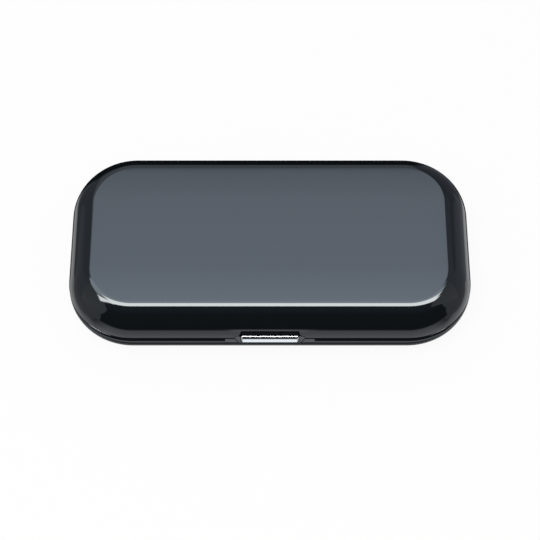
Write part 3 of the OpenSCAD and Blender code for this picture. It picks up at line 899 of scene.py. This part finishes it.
def make_floor():
    """Pale floor. It is white to the camera and keeps the shadow of the object."""
    bpy.ops.mesh.primitive_plane_add(size=FLOOR_SIZE * MM, location=(0, 0, FLOOR_Z * MM))
    floor = new_piece("floor")
    material = bpy.data.materials.new("pale_floor")
    material.use_nodes = True
    tree = material.node_tree
    tree.nodes.clear()
    light = add_node(tree, "ShaderNodeLightPath")
    paint = add_node(tree, "ShaderNodeBsdfDiffuse", {"Color": linear("#f4f4f4")})
    glow = add_node(tree, "ShaderNodeEmission", {"Strength": light.outputs["Is Camera Ray"]})
    mixed = {0: FLOOR_GLOW, 1: paint.outputs[0], 2: glow.outputs[0]}
    lift = add_node(tree, "ShaderNodeMixShader", mixed)
    finish_material(tree, lift)
    floor.data.materials.append(material)
    floor.visible_glossy = False


def window(tree, value, low, high, soft_low, soft_high):
    """1 between two values and 0 outside, with soft edges of the given half widths."""
    rise = add_node(
        tree, "ShaderNodeMapRange",
        {"Value": value, "From Min": low - soft_low, "From Max": low + soft_low},
        interpolation_type="SMOOTHSTEP",
    )
    fall = add_node(
        tree, "ShaderNodeMapRange",
        {
            "Value": value, "From Min": high - soft_high, "From Max": high + soft_high,
            "To Min": 1, "To Max": 0,
        },
        interpolation_type="SMOOTHSTEP",
    )
    return arithmetic(tree, "MULTIPLY", rise.outputs[0], fall.outputs[0])


def arithmetic(tree, operation, *values):
    return add_node(tree, "ShaderNodeMath", dict(enumerate(values)), operation=operation).outputs[0]


# The studio as glossy surfaces see it. Arc is the angle from the front horizon over the top to the
# rear one, in degrees, and below 0 it points at the floor. Side is how far a direction points to
# the right, from -1 to 1. Each entry is an arc window, a side window, the strength at the two ends
# of its arc, and a colour. A window is its two ends and how soft each is. A last number shifts the
# side window by so much a degree of arc, and its ends are then those at arc 0.
STUDIO = (
    ((73.5, 90, 1.3, 2), (-0.42, 0.58, 0.03, 0.03), (15, 15), "#f7feff"),
    ((70, 87, 2.5, 4), (-0.69, -0.38, 0.03, 0.03), (14, 14), "#f7feff"),
    ((88, 102, 2, 5), (-0.4, 0.48, 0.06, 0.03), (15, 15), "#f7feff"),
    ((92, 112, 4, 1), (-0.62, 0.42, 0.06, 0.03), (4.4, 4.4), "#e0f1ff"),
    ((110, 117, 1, 1), (-0.58, 0.3, 0.06, 0.03), (4.4, 4.2), "#e0f1ff"),
    ((114, 129.6, 2, 0.8), (-0.4, 0.165, 0.12, 0.008), (3.97, 2.1), "#dcecff"),
    ((128, 168, 1, 5), (-0.5, 0.165, 0.03, 0.008), (1.0, 0.6), "#e3f0ff"),
    ((108, 200, 3, 1), (-2, -0.3, 1, 0.06), (0.42, 0.24), "#e6f0ff"),
    ((108, 200, 3, 1), (-2, -0.8, 1, 0.04), (0.48, 0.38), "#e6f0ff"),
    ((100, 128, 3, 1), (0.168, 2, 0.03, 1), (0.5, 0.46), "#e6f0ff"),
    ((127, 200, 1, 1), (0.168, 2, 0.03, 1), (0.32, 0.22), "#e6f0ff"),
    ((127, 140, 1, 4), (0.45, 2, 0.1, 1), (0.48, 0.42), "#e6f0ff"),
    ((127, 200, 1, 1), (0.78, 2, 0.06, 1), (0.5, 0.41), "#e6f0ff"),
    ((-200, -140, 1, 3), (-2, -0.52, 1, 0.04), (0.23, 0.22), "#e6f0ff"),
    ((-200, -140, 1, 3), (0.22, 2, 0.06, 1), (0.21, 0.21), "#e6f0ff"),
    ((-200, -138, 1, 3), (0.68, 2, 0.06, 1), (0.4, 0.5), "#e6f0ff"),
    ((-200, -14, 1, 3), (-2, -0.81, 1, 0.04), (0.38, 0.5), "#eef5ff"),
    ((-200, -14, 1, 3), (0.81, 2, 0.04, 1), (0.4, 0.48), "#eef5ff"),
    ((-16, 22, 3, 1), (-2, -0.765, 1, 0.02), (0.54, 0.58), "#f0f7ff"),
    ((19, 46, 1, 1), (-2, -0.885, 1, 0.02), (0.575, 0.66), "#f0f7ff", 0.006),
    ((44, 112, 1, 4), (-2, -0.615, 1, 0.02), (0.66, 0.54), "#f0f7ff"),
    ((-16, 34, 3, 1), (0.885, 2, 0.015, 1), (0.5, 0.53), "#f0f7ff"),
    ((32, 62, 1, 2), (1.013, 2, 0.02, 1), (0.53, 0.64), "#f0f7ff", -0.004),
    ((57, 112, 1.5, 4), (0.54, 2, 0.02, 1), (0.66, 0.56), "#f0f7ff"),
    ((-65, -43, 3, 1), (-0.75, 0.75, 0.22, 0.22), (0.92, 1.4), "#f4faff"),
    ((-46, -12, 4, 4), (-0.75, 0.75, 0.22, 0.22), (1.22, 0.95), "#f4faff"),
    ((-22, -8.8, 3, 2.2), (-0.021, 0.021, 0.003, 0.003), (1.42, 1.38), "#f4faff"),
    ((-124, -80, 4, 2), (-0.8, 0.8, 0.1, 0.1), (0.25, 0.25), "#f4faff"),
    ((-144, -48, 4, 6), (-0.88, -0.5, 0.04, 0.1), (0.92, 0.72), "#fbfdff"),
    ((-142, -48, 4, 6), (0.5, 0.91, 0.1, 0.04), (1.1, 0.85), "#fbfdff"),
    ((40, 75, 14, 2), (-0.7, 0.7, 0.1, 0.1), (0.1, 0.2), "#d0e4ff"),
    ((-110, 110, 10, 10), (-2, 2, 1, 1), (0.05, 0.05), "#ffffff"),
)
STUDIO_DARK = 0.01


def make_world():
    """Even white light on every surface, and softboxes that only reflections show."""
    world = bpy.data.worlds.new("studio")
    world.use_nodes = True
    bpy.context.scene.world = world
    tree = world.node_tree
    tree.nodes.clear()
    light = add_node(tree, "ShaderNodeLightPath")
    way = add_node(tree, "ShaderNodeTexCoord").outputs["Generated"]
    across, back, up = add_node(tree, "ShaderNodeSeparateXYZ", {0: way}).outputs
    forth = arithmetic(tree, "MULTIPLY", back, -1.0)
    arc = arithmetic(tree, "DEGREES", arithmetic(tree, "ARCTAN2", up, forth))
    seen = (STUDIO_DARK,) * 3
    for arcs, sides, (first, last), colour, *lean in STUDIO:
        side = arithmetic(tree, "MULTIPLY_ADD", arc, -lean[0], across) if lean else across
        strength = add_node(
            tree, "ShaderNodeMapRange",
            {"Value": arc, "From Min": arcs[0], "From Max": arcs[1], "To Min": first, "To Max": last},
        ).outputs[0]
        share = arithmetic(tree, "MULTIPLY", window(tree, arc, *arcs), window(tree, side, *sides))
        share = arithmetic(tree, "MULTIPLY", share, strength)
        patch = add_node(
            tree, "ShaderNodeVectorMath", {0: linear(colour)[:3], "Scale": share}, operation="SCALE"
        )
        seen = add_node(
            tree, "ShaderNodeVectorMath", {0: seen, 1: patch.outputs[0]}, operation="MAXIMUM"
        ).outputs[0]
    ambient = add_node(
        tree, "ShaderNodeMix",
        {"Factor": light.outputs["Is Glossy Ray"], 6: (AMBIENT, AMBIENT, AMBIENT, 1), 7: seen},
        data_type="RGBA",
    )
    level = add_node(
        tree, "ShaderNodeMix",
        {"Factor": light.outputs["Is Camera Ray"], 6: ambient.outputs[2], 7: (1, 1, 1, 1)},
        data_type="RGBA",
    )
    glow = add_node(tree, "ShaderNodeBackground", {"Color": level.outputs[2]})
    add_node(tree, "ShaderNodeOutputWorld", {"Surface": glow.outputs[0]})


def make_key_light():
    """Large softbox above and in front, kept out of the reflections."""
    data = bpy.data.lights.new("key", "AREA")
    data.energy = KEY_POWER
    data.size = KEY_SIZE * MM
    key = bpy.data.objects.new("key", data)
    bpy.context.scene.collection.objects.link(key)
    key.location = Vector(KEY_PLACE) * MM
    key.rotation_euler = (-key.location).to_track_quat("-Z", "Y").to_euler()
    key.visible_glossy = False


make_floor()
make_world()
make_key_light()
bpy.context.scene.view_settings.view_transform = "Standard"
